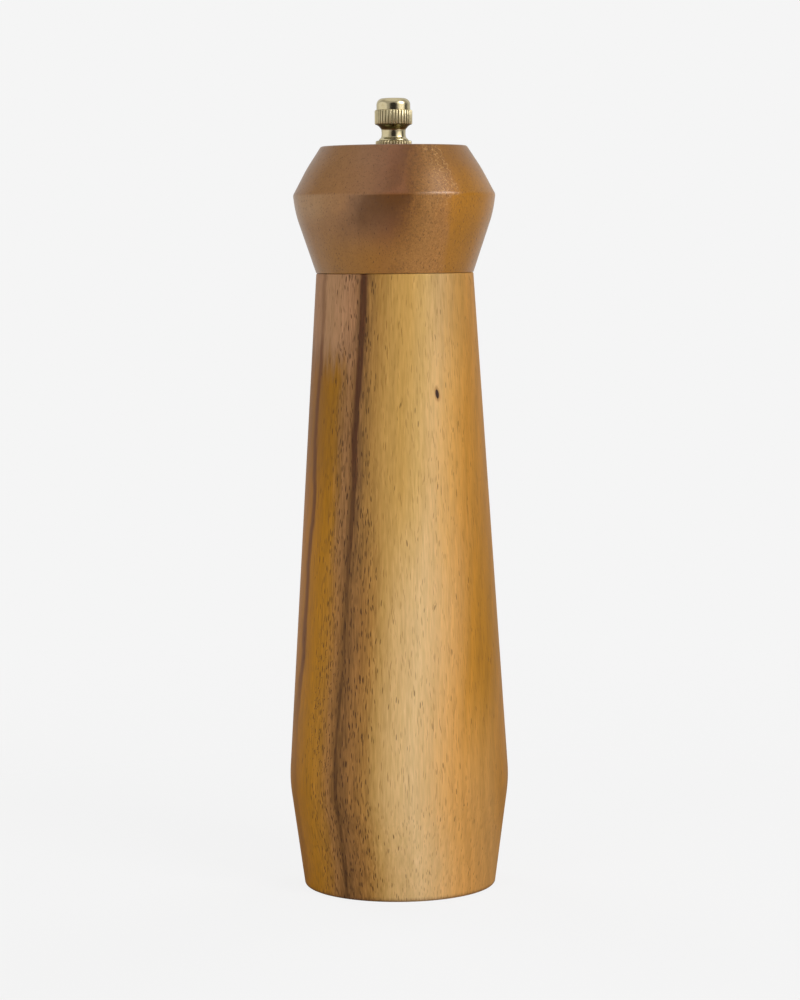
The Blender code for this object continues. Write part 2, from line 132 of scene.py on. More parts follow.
def in_scene(name, data):
    obj = bpy.data.objects.new(name, data)
    bpy.context.scene.collection.objects.link(obj)
    return obj


def linked(name, shape):
    """A new object in the scene that holds a bmesh."""
    mesh = bpy.data.meshes.new(name)
    shape.to_mesh(mesh)
    shape.free()
    return in_scene(name, mesh)


def skin(name, rings, loop=True, caps=False):
    """A mesh through rings of equally many points. loop joins the last ring to the first."""
    shape = bmesh.new()
    rows = [[shape.verts.new(p) for p in ring] for ring in rings]
    pairs = list(zip(rows, rows[1:]))
    if loop:
        pairs.append((rows[-1], rows[0]))
    for low, high in pairs:
        for i in range(len(low)):
            j = (i + 1) % len(low)
            shape.faces.new((low[i], low[j], high[j], high[i]))
    if caps:
        shape.faces.new(rows[0])
        shape.faces.new(rows[-1])
    bmesh.ops.recalc_face_normals(shape, faces=shape.faces)
    return linked(name, shape)


def smooth(obj, angle=SHARP):
    obj.data.shade_smooth()
    obj.data.set_sharp_from_angle(angle=angle)
    return obj


def ring(radius, height, count, center=(0, 0)):
    """Points around the Z axis. radius is a number, or a function of the angle."""
    points = []
    for i in range(count):
        angle = 2 * math.pi * i / count
        reach = radius(angle) if callable(radius) else radius
        points.append((center[0] + reach * math.cos(angle), center[1] + reach * math.sin(angle), height))
    return points


def lathe(name, corners, count=192, closed=True, step=math.radians(6)):
    """A turned shape. An open outline ends on two small caps."""
    points = rounded(corners, closed, step)
    rings = [ring(p.x, p.y, count) for p in points]
    return smooth(skin(name, rings, loop=closed, caps=not closed))


def polygon(sides, half_width, turn=0.0, rounding=0.0):
    """The radius of a regular polygon at an angle, with its corners cut back by rounding."""

    def radius(angle):
        part = 2 * math.pi / sides
        local = (angle - turn + part / 2) % part - part / 2
        reach = half_width / math.cos(local)
        return min(reach, half_width / math.cos(part / 2) - rounding)

    return radius


def apply_modifiers(obj):
    graph = bpy.context.evaluated_depsgraph_get()
    mesh = bpy.data.meshes.new_from_object(obj.evaluated_get(graph))
    obj.modifiers.clear()
    obj.data = mesh
    return obj


def combine(obj, operation, others):
    """Cuts the others from obj, or joins them to it, and removes them."""
    for other in others:
        modifier = obj.modifiers.new(other.name, "BOOLEAN")
        modifier.operation = operation
        modifier.object = other
        modifier.solver = "EXACT"
    apply_modifiers(obj)
    for other in others:
        bpy.data.objects.remove(other)
    return smooth(obj)


def block(name, size, center, turn=0.0):
    shape = bmesh.new()
    place = Matrix.Translation(center) @ Matrix.Rotation(turn, 4, "Z") @ Matrix.Diagonal((*size, 1))
    bmesh.ops.create_cube(shape, size=1, matrix=place)
    return linked(name, shape)


def drill(name, radius, low, high, center):
    """A plain cylinder that cuts a hole."""
    rings = [ring(radius, z, 32, center) for z in (low, high)]
    return skin(name, rings, loop=False, caps=True)


def winding(angle, height, pitch):
    """Where a point lies between two turns of a right-hand thread, from 0 to 1."""
    return (height / pitch - angle / (2 * math.pi)) % 1.0


def on_circle(count, radius, start=0.0):
    for i in range(count):
        angle = start + 2 * math.pi * i / count
        yield angle, radius * math.cos(angle), radius * math.sin(angle)


# ---- node helpers


class Nodes:
    """Builds the nodes of a new material or world. Values are numbers, tuples or sockets."""

    def __init__(self, owner):
        self.material = owner
        owner.use_nodes = True
        self.tree = owner.node_tree
        self.shader = self.tree.nodes.get("Principled BSDF")

    def add(self, kind, **settings):
        node = self.tree.nodes.new("ShaderNode" + kind)
        for key, value in settings.items():
            setattr(node, key, value)
        return node

    def feed(self, socket, value):
        if isinstance(value, bpy.types.NodeSocket):
            self.tree.links.new(value, socket)
        elif isinstance(value, tuple) and socket.type == "RGBA":
            socket.default_value = (*value, 1.0)
        else:
            socket.default_value = value

    def fill(self, node, **inputs):
        for key, value in inputs.items():
            self.feed(node.inputs[key.replace("_", " ")], value)
        return node

    def wire(self, node, *values):
        """Feeds a node's first inputs, in their order."""
        for socket, value in zip(node.inputs, values):
            self.feed(socket, value)
        return node

    def math(self, operation, *values):
        return self.wire(self.add("Math", operation=operation), *values).outputs[0]

    def chain(self, operation, total, *others):
        for other in others:
            total = self.math(operation, total, other)
        return total

    def sum(self, *values):
        return self.chain("ADD", *values)

    def times(self, *values):
        return self.chain("MULTIPLY", *values)

    def centered(self, value, gain):
        """A value around 0.5 brought around 0."""
        return self.times(self.math("SUBTRACT", value, 0.5), gain)

    def reach(self, x, y):
        """The distance from the axis."""
        return self.math("SQRT", self.sum(self.times(x, x), self.times(y, y)))

    def mix(self, factor, a, b, blend="MIX"):
        node = self.add("Mix", data_type="RGBA", blend_type=blend)
        self.feed(node.inputs[0], factor)
        self.feed(node.inputs[6], a)
        self.feed(node.inputs[7], b)
        return node.outputs[2]

    def blend(self, factor, a, b):
        node = self.add("Mix", data_type="FLOAT")
        self.feed(node.inputs[0], factor)
        self.feed(node.inputs[2], a)
        self.feed(node.inputs[3], b)
        return node.outputs[0]

    def step(self, value, low, high, to_low=0.0, to_high=1.0):
        """A smooth step of value from low to high."""
        node = self.add("MapRange", interpolation_type="SMOOTHSTEP")
        return self.wire(node, value, low, high, to_low, to_high).outputs[0]

    def band(self, value, one, other):
        """The product of two smooth steps of value, such as a rise and a fall."""
        return self.times(self.step(value, *one), self.step(value, *other))

    def paint(self, under, over, mask, strength):
        """One colour over another, where the mask is and as strong as strength says."""
        return self.mix(self.times(mask, strength), under, over)

    def ramp(self, value, low, high, stops, interpolation="LINEAR"):
        """Colours or numbers at places between low and high, in rising order."""
        node = self.add("ValToRGB")
        ramp = node.color_ramp
        ramp.interpolation = interpolation
        while len(ramp.elements) < len(stops):
            ramp.elements.new(0.5)
        for element, (place, _) in zip(ramp.elements, stops):
            element.position = (place - low) / (high - low)
        for element, (_, color) in zip(ramp.elements, stops):
            color = color if isinstance(color, tuple) else (color,) * 3
            element.color = (*color, 1.0)
        scaled = self.math("DIVIDE", self.math("SUBTRACT", value, low), high - low)
        self.feed(node.inputs[0], scaled)
        return node.outputs[0]

    def noise(self, vector, scale, detail=2.0, roughness=0.5, distortion=0.0):
        node = self.fill(self.add("TexNoise"), Vector=vector, Scale=scale, Detail=detail)
        return self.fill(node, Roughness=roughness, Distortion=distortion).outputs["Fac"]

    def cells(self, vector):
        """(distance to the nearest cell's middle, the cell's own random number)."""
        node = self.fill(self.add("TexVoronoi"), Vector=vector, Scale=1.0)
        split = self.wire(self.add("SeparateXYZ"), node.outputs["Color"])
        return node.outputs["Distance"], split.outputs[0]

    def vector(self, x, y, z):
        return self.wire(self.add("CombineXYZ"), x, y, z).outputs[0]

    def place(self):
        """(vector, x, y, z) of the surface in millimetres."""
        scale = self.wire(self.add("VectorMath", operation="SCALE"), self.add("TexCoord").outputs["Object"])
        scale.inputs["Scale"].default_value = 1000.0
        split = self.wire(self.add("SeparateXYZ"), scale.outputs[0])
        return (scale.outputs[0], *split.outputs)

    def bump(self, height, distance, strength):
        node = self.fill(self.add("Bump"), Height=height, Distance=distance, Strength=strength)
        self.feed(self.shader.inputs["Normal"], node.outputs[0])

    def finish(self, **inputs):
        self.fill(self.shader, **inputs)
        return self.material


def surface(name):
    return Nodes(bpy.data.materials.new(name))


# ---- wood


# How far the body's layers have moved sideways at a height in millimetres, as a share of FULL_LEAN.
FULL_LEAN = 25.0
LEAN = [(0, 0.66), (12, 0.69), (36, 0.79), (72, 0.693), (118, 0.552), (160, 0.448), (196, 0.35)]

# The body's layers: depth in the board in millimetres, with the dark streak at 0, and linear colour.
UPPER_LAYERS = [
    (-30, (0.3, 0.14, 0.04)),
    (-17, (0.36, 0.165, 0.06)),
    (-12, (0.42, 0.205, 0.09)),
    (-9.5, (0.51, 0.275, 0.128)),
    (-5.5, (0.46, 0.24, 0.116)),
    (-2.8, (0.36, 0.178, 0.08)),
    (1.8, (0.275, 0.135, 0.036)),
    (5, (0.38, 0.198, 0.048)),
    (9, (0.48, 0.27, 0.072)),
    (14, (0.53, 0.305, 0.082)),
    (19, (0.59, 0.365, 0.122)),
    (24, (0.66, 0.41, 0.165)),
    (31, (0.645, 0.34, 0.09)),
    (36, (0.6, 0.275, 0.045)),
    (48, (0.445, 0.188, 0.018)),
    (62, (0.38, 0.16, 0.03)),
]
LOWER_LAYERS = [
    (-30, (0.32, 0.14, 0.03)),
    (-14, (0.38, 0.15, 0.03)),
    (-11.5, (0.42, 0.165, 0.01)),
    (-8, (0.475, 0.198, 0.004)),
    (-5, (0.455, 0.2, 0.02)),
    (-2.5, (0.37, 0.17, 0.045)),
    (1.5, (0.245, 0.112, 0.032)),
    (5, (0.305, 0.14, 0.034)),
    (8, (0.37, 0.182, 0.042)),
    (11, (0.48, 0.275, 0.08)),
    (15, (0.6, 0.375, 0.145)),
    (23, (0.685, 0.46, 0.215)),
    (28, (0.665, 0.415, 0.175)),
    (35, (0.665, 0.35, 0.105)),
    (41, (0.56, 0.248, 0.03)),
    (48, (0.455, 0.195, 0.01)),
    (62, (0.4, 0.175, 0.03)),
]

# The head's layers, with its dark heart at 4.
HEAD_LAYERS = [
    (-36, (0.33, 0.135, 0.022)),
    (-26, (0.35, 0.15, 0.026)),
    (-18, (0.335, 0.156, 0.05)),
    (-11, (0.285, 0.135, 0.056)),
    (-5, (0.235, 0.104, 0.044)),
    (0, (0.22, 0.084, 0.032)),
    (4, (0.205, 0.078, 0.016)),
    (8, (0.275, 0.118, 0.025)),
    (12, (0.36, 0.165, 0.044)),
    (17, (0.395, 0.172, 0.044)),
    (22, (0.4, 0.16, 0.012)),
    (29, (0.415, 0.168, 0.008)),
    (36, (0.39, 0.16, 0.012)),
]


def stretched(n, x, y, z, across, along):
    """Coordinates in units that are longer along the grain."""
    return n.vector(n.math("DIVIDE", x, across), n.math("DIVIDE", y, across), n.math("DIVIDE", z, along))


def pores(n, x, y, z, across, along, share, size):
    """Vessels cut along the grain: 1 inside one, 0 outside. share says how many cells hold one."""
    distance, chance = n.cells(stretched(n, x, y, z, across, along))
    return n.times(n.step(distance, size, size * 0.55), n.math("LESS_THAN", chance, share))


def streaks(n, x, y, z, across, along, detail=3.0):
    """Streaks along the grain, around 0, mostly from -1 to 1."""
    return n.centered(n.noise(stretched(n, x, y, z, across, along), 1.0, detail, 0.6), 4.0)


def pin_knot(n, x, y, z):
    """0 in the middle of a small upright knot, and 1 at its edge."""
    knot_x, knot_y, knot_z = 13.0, -24.0, 160.6
    width, reach_in, height = 0.6, 5.0, 1.6
    slope = 0.13
    above = n.sum(z, -knot_z)
    a = n.math("DIVIDE", n.sum(x, -knot_x, n.times(above, slope)), width)
    b = n.math("DIVIDE", above, height)
    c = n.math("DIVIDE", n.sum(y, -knot_y), reach_in)
    return n.sum(n.times(a, a), n.times(b, b), n.times(c, c))


def body_layers(n, z, frayed, broad):
    """The body's plain colours. The lower layers give way to the upper ones, higher up at the left."""
    left = n.step(frayed, -2.5, -6.0)
    higher = n.sum(z, n.times(broad, 7.0))
    upper = n.ramp(frayed, -30, 62, UPPER_LAYERS)
    lower = n.ramp(frayed, -30, 62, LOWER_LAYERS)
    rising = n.blend(left, n.step(higher, 85.0, 140.0), n.step(higher, 164.0, 178.0))
    color = n.mix(rising, lower, upper)

    # Golden turns dull at the left, and mauve turns brown beside the streak.
    dull = n.times(left, n.step(z, 116.0, 150.0), n.step(higher, 182.0, 170.0))
    color = n.paint(color, (0.03, 0.01, 0.004), dull, 0.26)
    beside = n.times(n.band(frayed, (-6.6, -4.2), (0.5, -1.0)), n.step(higher, 180.0, 160.0))
    return n.paint(color, (0.285, 0.133, 0.034), beside, n.step(z, 92.0, 132.0, 0.0, 0.6))


def body_wood():
    """Acacia: golden and mauve at the left, one dark streak, then brown, olive, cream and orange layers."""
    n = surface("body_acacia")
    _, x, y, z = n.place()
    fine = streaks(n, x, y, z, 0.5, 8.0, 1.5)
    medium = streaks(n, x, y, z, 1.1, 30.0, 2.0)
    broad = streaks(n, x, y, z, 3.2, 90.0)

    # depth says which layer of the board a point lies in. The layers lean and bend along the piece.
    lean = n.times(n.ramp(z, 0, 200, LEAN, "CARDINAL"), FULL_LEAN)
    wander = n.centered(n.noise(n.vector(n.times(x, 0.3), n.times(y, 0.3), z), 0.055, 2.0), 1.2)
    depth = n.sum(x, lean, n.times(n.sum(y, 30.0), 0.14), wander)
    frayed = n.sum(depth, n.times(medium, 0.55), n.times(fine, 0.18))
    color = body_layers(n, z, frayed, broad)

    # A thin dark red line runs beside the golden layer.
    line_depth = -11.0
    off_line = n.math("ABSOLUTE", n.sum(depth, n.times(fine, 0.12), n.times(medium, 0.1), -line_depth))
    ends = n.math("MINIMUM", n.step(z, 182.0, 172.0, 0.42, 0.85), n.step(z, 45.0, 80.0, 0.25, 0.85))
    color = n.paint(color, (0.145, 0.044, 0.006), n.step(off_line, 0.68, 0.12), ends)

    # The orange layer turns paler near the base.
    pale = n.times(n.step(z, 78.0, 34.0), n.band(frayed, (33.0, 43.0), (56.0, 49.0)))
    color = n.paint(color, (0.64, 0.37, 0.15), pale, 0.38)

    # The dark streak is whole near the top and breaks into shreds lower down.
    off = n.math("ABSOLUTE", n.sum(depth, n.times(fine, 0.16), n.times(medium, 0.14), 0.1))
    broken = n.step(z, 150.0, 90.0)
    width = n.sum(1.12, n.times(broken, -0.4), n.times(broad, 0.3))
    core = n.step(off, n.times(width, 1.4), n.times(width, 0.45))
    shreds = n.blend(broken, n.step(fine, -1.0, 0.4, 0.8, 1.0), n.step(medium, -0.9, 0.5, 0.35, 0.95))
    glow = n.times(n.step(n.sum(off, n.times(fine, 0.5)), 3.0, 0.4), n.step(z, 60.0, 100.0, 0.3, 0.42))
    streak = n.math("MAXIMUM", n.times(core, shreds, 0.97), glow)
    color = n.mix(streak, color, n.mix(broken, (0.066, 0.02, 0.006), (0.092, 0.038, 0.01)))

    # Brightness varies from fibre to fibre, most in the brown layers, and painted shade darkens the right
    # side.
    brown_end = (n.blend(broken, 6.0, 13.0), n.blend(broken, 1.0, 6.0))
    brown = n.band(frayed, (-9.5, -4.5), brown_end)
    rings = n.math("SINE", n.sum(n.times(depth, 1.7), n.times(broad, 1.6), n.times(medium, 0.5)))
    rings = n.times(rings, n.step(depth, 24.0, 44.0, 0.015, 0.055))
    middle = n.math("MINIMUM", n.step(z, 46.0, 80.0), n.step(z, 190.0, 160.0))
    shade = n.sum(
        1.0,
        n.times(fine, n.blend(brown, 0.11, 0.27)),
        n.times(medium, n.blend(brown, 0.07, 0.15)),
        n.times(broad, 0.045),
        # Painted shade: the orange layers at the right side are darker at mid height.
        n.times(n.step(depth, 30.0, 40.0), middle, -0.1),
        n.times(n.step(depth, 15.0, 24.0), n.step(z, 160.0, 188.0), -0.13),
        rings,
    )
    bluer = n.times(shade, n.sum(1.0, n.times(fine, 0.06)))
    color = n.mix(1.0, color, n.vector(shade, shade, bluer), "MULTIPLY")

    # Vessels: short and dark in the brown layers, longer and fainter in the pale ones.
    sway = n.centered(n.noise(n.vector(x, y, n.times(z, 0.5)), 0.3, 1.0), 1.6)
    swayed = n.sum(x, sway)
    dashes = pores(n, swayed, y, z, 0.46, 7.0, 0.55, 0.33)
    shorts = pores(n, n.sum(swayed, 31.0), y, z, 0.62, 4.4, n.blend(brown, 0.05, 1.0), 0.33)
    longs = pores(n, n.sum(swayed, 67.0), y, z, 0.72, 20.0, 0.45, 0.21)
    dash_color = n.mix(brown, (0.2, 0.085, 0.018), (0.105, 0.044, 0.012))
    color = n.paint(color, dash_color, dashes, n.blend(brown, 0.4, 0.66))
    color = n.paint(color, (0.15, 0.06, 0.014), longs, 0.5)
    color = n.paint(color, (0.06, 0.026, 0.01), shorts, n.blend(brown, 0.6, 0.9))

    # Beside the streak, low down, some vessels are cut aslant.
    slant = n.sum(n.times(z, 0.8), n.times(x, 0.6))
    across = n.sum(n.times(x, 0.8), n.times(z, -0.6))
    aslant = pores(n, across, y, slant, 0.66, 3.4, 0.6, 0.3)
    zone = n.times(n.band(z, (36.0, 46.0), (92.0, 76.0)), n.band(depth, (-8.5, -6.5), (-0.5, -2.0)))
    color = n.paint(color, (0.07, 0.03, 0.014), n.times(aslant, zone), 0.8)

    # One pin knot with a warm rim.
    squares = pin_knot(n, x, y, z)
    color = n.mix(n.step(squares, 3.6, 1.0, 0.0, 0.45), color, (0.3, 0.12, 0.03))
    knot = n.step(squares, 1.15, 0.55)
    color = n.mix(knot, color, (0.03, 0.012, 0.008))

    # Painted shade darkens the rim that the mill stands on, where it meets the floor.
    painted_contact_shade = n.step(n.sum(z, n.times(fine, 0.3)), 1.8, 0.2, 0.0, 0.55)
    color = n.mix(painted_contact_shade, color, (0.1, 0.045, 0.018))

    open_pores = n.math("MAXIMUM", shorts, n.times(longs, 0.7))
    rough = n.sum(0.46, n.times(fine, 0.03), n.times(open_pores, 0.15))
    height = n.sum(n.times(fine, 0.12), n.times(open_pores, -0.8), n.times(knot, -0.8))
    n.bump(height, 0.00006, 0.5)
    lacquer = {"Specular_IOR_Level": 0.22, "Coat_Weight": 0.05, "Coat_Roughness": 0.32}
    return n.finish(Base_Color=color, Roughness=rough, **lacquer)


def heart_and_painted_shade(n, x, y, z, medium, blotch):
    """Where the front is dark: partly the wood's dark heart, partly painted shade below the ridge, fading
    downwards, and less above.
    """
    lean = n.times(n.sum(z, -221.0), -0.35)
    across = n.sum(x, n.times(blotch, 1.1), n.times(medium, 0.6), lean)
    wide = n.band(across, (-17.0, -8.0), (7.0, 1.5))
    fade = n.times(n.step(n.sum(z, n.times(blotch, 1.4)), 203.0, 220.5), n.step(z, 223.4, 222.6))
    below = n.times(wide, n.math("POWER", fade, 1.4), 0.92)
    above = n.times(n.band(across, (-6.0, -2.5), (0.4, -0.6)), n.times(n.step(z, 223.0, 226.0), 0.4))
    front = n.step(y, 2.0, -8.0)
    return n.times(n.math("MAXIMUM", below, above), front)


def head_wood():
    """Darker acacia: mauve-brown at the left, dark in the middle, ochre and orange at the right."""
    n = surface("head_acacia")
    vector, x, y, z = n.place()
    fine = streaks(n, x, y, z, 0.4, 3.0)
    medium = streaks(n, x, y, z, 1.8, 14.0)
    blotch = streaks(n, x, y, z, 6.0, 9.0, 2.0)
    rise = n.sum(z, -222.0)
    lean = n.times(rise, -0.16)
    depth = n.sum(x, lean, n.times(n.sum(y, 28.0), 0.12), n.times(blotch, 1.3), n.times(medium, 0.5))
    color = n.ramp(depth, -36, 36, HEAD_LAYERS)

    # The lower cone is more golden.
    golden = n.mix(n.step(depth, -4.0, 8.0), (0.38, 0.16, 0.008), (0.39, 0.175, 0.042))
    color = n.paint(color, golden, n.step(z, 216.0, 202.0), 0.55)

    # Under the ridge the left side is paler: a painted sheen. The top of the upper cone is duller at the
    # right.
    # Painted sheen on the left side just under the ridge.
    painted_sheen_left = n.times(n.band(z, (223.6, 222.8), (212.0, 219.0)), n.step(depth, -16.0, -24.0))
    color = n.paint(color, (0.5, 0.29, 0.13), painted_sheen_left, 0.55)
    high = n.times(n.step(z, 224.0, 236.0), n.step(depth, 8.0, 18.0))
    color = n.paint(color, (0.215, 0.092, 0.016), high, 0.58)
    # The wood's dark heart, together with painted shade under the ridge.
    color = n.paint(color, (0.1, 0.036, 0.005), heart_and_painted_shade(n, x, y, z, medium, blotch), 0.88)

    # A smooth orange layer starts at the right. Its border leans in above the ridge.
    border = n.blend(
        n.step(z, 221.5, 223.5),
        n.sum(17.6, n.times(rise, -0.1)),
        n.sum(20.6, n.times(n.sum(z, -223.0), -0.52)),
    )
    inside = n.sum(depth, n.times(border, -1.0))
    glowing = n.band(z, (209.0, 219.0), (223.4, 222.8))
    orange = n.mix(glowing, (0.4, 0.165, 0.01), (0.475, 0.195, 0.014))
    color = n.paint(color, orange, n.step(inside, -0.8, 1.0), n.step(z, 238.0, 224.0, 0.15, 0.58))

    # Curly figure up to that layer: ochre mottling, and wavy pale lines along the border.
    mottle = n.centered(n.noise(vector, 1.6, 3.0, 0.7, 0.8), 4.0)
    not_orange = n.times(n.step(z, 208.0, 224.0, 0.6, 1.0), n.step(inside, 0.3, -1.5, 0.15, 1.0))
    strong = n.times(n.step(depth, 0.5, 5.0), not_orange)
    shade = n.sum(
        1.0,
        n.times(fine, n.blend(strong, 0.08, 0.12)),
        n.times(medium, 0.06),
        n.times(mottle, n.blend(strong, 0.1, 0.42)),
        n.times(strong, -0.06),
    )
    color = n.mix(1.0, color, n.vector(shade, shade, shade), "MULTIPLY")
    wobble = n.times(n.noise(n.vector(n.times(x, 0.35), n.times(y, 0.35), z), 0.75, 2.0), 5.5)
    wave = n.math("ABSOLUTE", n.math("SINE", n.times(n.sum(inside, wobble), 1.5)))
    along_border = n.times(n.band(inside, (-6.5, -4.0), (0.6, -0.2)), n.step(z, 216.0, 225.0, 0.15, 1.0))
    color = n.paint(color, (0.68, 0.38, 0.14), n.times(n.step(wave, 0.3, 0.04), along_border), 0.62)

    # Vessels: many small dots, and fewer longer marks.
    dots = pores(n, n.sum(x, n.times(z, -0.22)), y, z, 0.52, 1.2, 0.8, 0.34)
    marks = pores(n, n.sum(x, 23.0, n.times(z, -0.16)), y, z, 0.85, 2.4, 0.3, 0.25)
    color = n.paint(color, (0.085, 0.036, 0.012), dots, n.blend(strong, 0.4, 0.55))
    color = n.paint(color, (0.065, 0.027, 0.01), marks, 0.6)

    open_pores = n.math("MAXIMUM", marks, n.times(dots, 0.5))
    rough = n.sum(0.3, n.times(mottle, 0.02), n.times(open_pores, 0.15))
    n.bump(n.sum(n.times(fine, 0.1), n.times(open_pores, -0.8)), 0.00005, 0.5)
    lacquer = {"Specular_IOR_Level": 0.42, "Coat_Weight": 0.3, "Coat_Roughness": 0.2}
    return n.finish(Base_Color=color, Roughness=rough, **lacquer)


# ---- metals, ceramic, plastic


def metal(name, color, roughness, uneven, grime, drawn=False):
    """A drawn or turned metal with a little tarnish. uneven says how much the marks change its roughness."""
    n = surface(name)
    vector, x, y, z = n.place()
    cloud = n.noise(vector, 0.35, 4.0, 0.6)
    if drawn:
        marks = n.noise(n.vector(n.times(x, 6.0), n.times(y, 6.0), n.times(z, 0.25)), 1.0, 3.0, 0.6)
    else:
        marks = n.noise(n.vector(n.times(n.reach(x, y), 14.0), n.times(z, 14.0), 0.0), 1.0, 2.0, 0.6)
    darker = tuple(c * 0.62 for c in color)
    tint = n.mix(n.step(cloud, 0.45, 0.85, 0.0, grime), color, darker)
    rough = n.sum(roughness, n.centered(cloud, 0.1), n.centered(marks, uneven))
    n.bump(marks, 0.00001, 0.25)
    return n.finish(Base_Color=tint, Roughness=rough, Metallic=1.0)


def brass():
    """Polished brass, with painted shade in the knurl's grooves and in the corner under the band."""
    n = surface("polished_brass")
    vector, x, y, z = n.place()
    reach = n.reach(x, y)
    rise = n.sum(z, -1000.0 * NUT_BOTTOM)
    cloud = n.noise(vector, 0.5, 4.0, 0.6)
    lathe_marks = n.noise(n.vector(n.times(reach, 9.0), 0.0, n.times(z, 9.0)), 1.0, 2.0, 0.6)
    color = n.mix(n.step(cloud, 0.4, 0.75), (0.88, 0.76, 0.47), (0.8, 0.67, 0.38))
    foot = n.step(rise, 1.6, 1.5)
    # Painted shade in the knurl's grooves.
    groove = n.step(n.sum(reach, n.times(foot, 0.25)), 5.9, 5.7)
    knurled = n.math("MAXIMUM", foot, n.band(rise, (6.3, 6.5), (11.3, 11.1)))
    color = n.paint(color, (0.26, 0.185, 0.065), n.times(groove, knurled), 0.85)
    # Painted shade in the corner under the band.
    corner = n.band(rise, (4.4, 5.4), (6.8, 6.5))
    color = n.paint(color, (0.13, 0.125, 0.06), corner, 0.9)
    polished = n.sum(0.17, n.centered(cloud, 0.12), n.centered(lathe_marks, 0.06))
    n.bump(lathe_marks, 0.00001, 0.2)
    return n.finish(Base_Color=color, Roughness=n.blend(knurled, polished, 0.42), Metallic=1.0)


def ceramic():
    """Off-white burr ceramic with darker clouds and specks."""
    n = surface("burr_ceramic")
    vector = n.place()[0]
    cloud = n.noise(vector, 0.25, 3.0)
    specks = n.noise(vector, 5.0, 2.0)
    color = n.mix(n.step(cloud, 0.3, 0.75), (0.8, 0.78, 0.72), (0.7, 0.67, 0.6))
    color = n.mix(n.step(specks, 0.62, 0.78, 0.0, 0.35), color, (0.45, 0.42, 0.36))
    n.bump(specks, 0.00003, 0.5)
    return n.finish(Base_Color=color, Roughness=n.sum(0.46, n.centered(cloud, 0.2)))


def nylon():
    """Black moulded nylon with a fine grain."""
    n = surface("black_nylon")
    vector = n.place()[0]
    cloud = n.noise(vector, 0.12, 3.0)
    grain = n.noise(vector, 7.0, 2.0)
    color = n.mix(n.step(cloud, 0.3, 0.7), (0.018, 0.018, 0.02), (0.034, 0.034, 0.036))
    n.bump(grain, 0.00004, 0.6)
    return n.finish(Base_Color=color, Roughness=n.sum(0.44, n.centered(grain, 0.25)))


BODY_WOOD = body_wood()
HEAD_WOOD = head_wood()
BRASS = brass()
ALUMINIUM = metal("drawn_aluminium", (0.8, 0.8, 0.81), 0.34, 0.15, 0.25, drawn=True)
STEEL = metal("stamped_steel", (0.62, 0.62, 0.63), 0.3, 0.15, 0.35)
SPRING_STEEL = metal("spring_steel", (0.5, 0.5, 0.52), 0.26, 0.1, 0.35)
CERAMIC = ceramic()
NYLON = nylon()


def show(obj, material, body, node):
    """obj takes the place of a CAD node and rides on its body."""
    obj.data.materials.clear()
    obj.data.materials.append(material)
    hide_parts(node)
    if body:
        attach(obj, body)
    return obj


# ---- wooden pieces


def wooden_pieces():
    """The body with its chamber and recess, and the head with its tenon. Long facets bow out a little."""
    count = 256
    step = math.radians(1.5)
    chamfer = 0.0008
    body = lathe(
        "turned_body",
        [
            (CHAMBER_RADIUS + chamfer, SEAM, 0.0002),
            (SEAM_RADIUS, SEAM, 0.00035),
            (HIP_RADIUS, HIP_HEIGHT, 0.045),
            (BASE_RADIUS, 0, 0.0011),
            (RECESS_RADIUS, 0, 0.0006),
            (RECESS_RADIUS, RECESS_DEPTH),
            (CHAMBER_RADIUS, RECESS_DEPTH),
            (CHAMBER_RADIUS, SEAM - chamfer, 0.0002),
        ],
        count,
        step=step,
    )
    show(body, BODY_WOOD, "base", "mill_body")

    shoulder = SEAM + 0.00008
    upper_bow = (0.02795, 0.2316, 0.05)
    lower_bow = (0.0316, 0.2174, 0.035)
    head = lathe(
        "turned_head",
        [
            (SHAFT_HOLE_RADIUS, HEAD_TOP, 0.0002),
            (HEAD_TOP_RADIUS, HEAD_TOP, 0.001),
            upper_bow,
            (RIDGE_RADIUS, RIDGE_HEIGHT, 0.0022),
            lower_bow,
            (SEAM_RADIUS, shoulder, 0.00035),
            (TENON_RADIUS, shoulder),
            (TENON_RADIUS, TENON_BOTTOM, 0.0008),
            (SHAFT_HOLE_RADIUS, TENON_BOTTOM, 0.0002),
        ],
        count,
        step=step,
    )
    show(head, HEAD_WOOD, "head", "head_block")


# ---- nut and shaft


